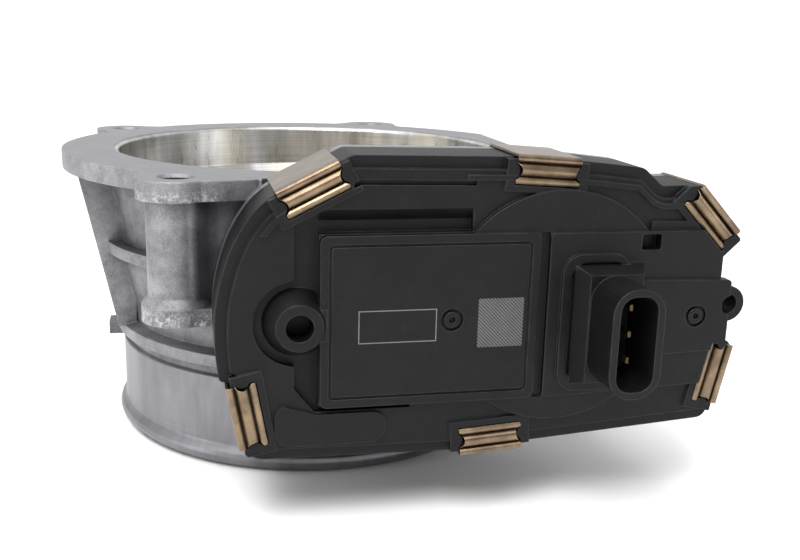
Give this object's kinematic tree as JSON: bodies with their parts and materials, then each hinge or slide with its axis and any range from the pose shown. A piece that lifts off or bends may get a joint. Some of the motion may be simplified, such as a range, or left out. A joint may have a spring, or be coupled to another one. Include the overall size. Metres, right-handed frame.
{
  "type": "electronic throttle body",
  "caption": "Single-bore electronic throttle body with a flanged cast housing, hose spigot, clipped gear cover, motor drive and sprung butterfly plate.",
  "frame": {"origin": "on the throttle bore axis, in the plane of the manifold flange face", "axes": "+Z along the bore axis out of the manifold flange, -Y out of the gear cover, along the throttle shaft, and +X from the throttle shaft toward the motor"},
  "size_m": [0.1429, 0.16, 0.0766],
  "materials": {
    "cast_aluminium": "as cast, machined on the faces",
    "cover_plastic": "fine moulded texture",
    "clip_steel": "satin, bronze-coloured coating",
    "plug_steel": "plated",
    "dark_steel": "black oxide",
    "seal_rubber": "smooth",
    "gasket_rubber": "smooth",
    "contact_brass": "tin or gold flashed",
    "board_green": "solder mask",
    "shaft_steel": "ground",
    "plate_brass": "turned edge, rolled faces",
    "gear_plastic": "moulded",
    "idler_plastic": "moulded",
    "spring_steel": "drawn wire",
    "bearing_steel": "ground and polished",
    "cage_plastic": "moulded",
    "magnet_ferrite": "sintered",
    "carbon": "pressed carbon",
    "sinter_bronze": "oil-filled sintered bronze",
    "copper": "enamelled copper wire",
    "lamination": "stamped stack"
  },
  "bodies": {
    "housing_group": {"housing": "cast_aluminium", "far_end_plug": "plug_steel", "stop_screw": "dark_steel", "gear_cover": "cover_plastic", "cover_gasket": "gasket_rubber", "cover_clips": "clip_steel", "connector_pins": "contact_brass", "lead_frame": "contact_brass", "sensor_board": "board_green", "return_spring": "spring_steel", "spring_guide": "idler_plastic", "bearing_outer_ring": "bearing_steel", "needle_cup": "bearing_steel", "shaft_seals": "seal_rubber", "idler_pin": "shaft_steel", "idler_washer": "plug_steel", "motor_can": "plug_steel", "motor_magnets": "magnet_ferrite", "motor_end_cap": "cover_plastic", "motor_screws": "dark_steel", "motor_brushes": "carbon", "motor_front_bush": "sinter_bronze", "motor_rear_bush": "sinter_bronze", "motor_terminals": "contact_brass"},
    "throttle_group": {"throttle_shaft": "shaft_steel", "throttle_plate": "plate_brass", "plate_screws": "plug_steel", "sector_gear": "gear_plastic", "sector_hub_insert": "plug_steel", "sensor_rotor": "plug_steel", "bearing_inner_ring": "bearing_steel"},
    "ball_group": {"bearing_balls": "bearing_steel", "bearing_cage": "cage_plastic"},
    "needle_group": {"needle_rollers": "bearing_steel"},
    "idler_group": {"idler_gear": "idler_plastic"},
    "rotor_group": {"motor_shaft": "shaft_steel", "motor_pinion": "contact_brass", "armature_core": "lamination", "armature_windings": "copper", "commutator": "copper"}
  },
  "joints": [
    {"name": "throttle_turn", "type": "hinge", "parent": "housing_group", "child": "throttle_group", "pos_m": [0, 0, -0.0232], "axis": [0, 1, 0], "range_deg": [-7, 77], "stiffness_Nm_per_rad": 0.2},
    {"name": "idler_turn", "type": "hinge", "parent": "housing_group", "child": "idler_group", "pos_m": [0.033, -0.068, -0.0232], "axis": [0, 1, 0], "range_deg": [-276.9, 26.1]},
    {"name": "rotor_turn", "type": "hinge", "parent": "housing_group", "child": "rotor_group", "pos_m": [0.05823, -0.04, -0.02949], "axis": [0, 1, 0], "range_deg": [-124.1, 1355.5]},
    {"name": "ball_roll", "type": "hinge", "parent": "housing_group", "child": "ball_group", "pos_m": [0, -0.0543, -0.0232], "axis": [0, 1, 0], "range_deg": [-4, 32]},
    {"name": "needle_roll", "type": "hinge", "parent": "housing_group", "child": "needle_group", "pos_m": [0, 0.0508, -0.0232], "axis": [0, 1, 0], "range_deg": [-4, 34.5]}
  ],
  "couplings": [
    {"joint": "idler_turn", "follows": "throttle_turn", "ratio": -3.5833},
    {"joint": "rotor_turn", "follows": "throttle_turn", "ratio": 17.591},
    {"joint": "ball_roll", "follows": "throttle_turn", "ratio": 0.39375},
    {"joint": "needle_roll", "follows": "throttle_turn", "ratio": 0.43396}
  ]
}
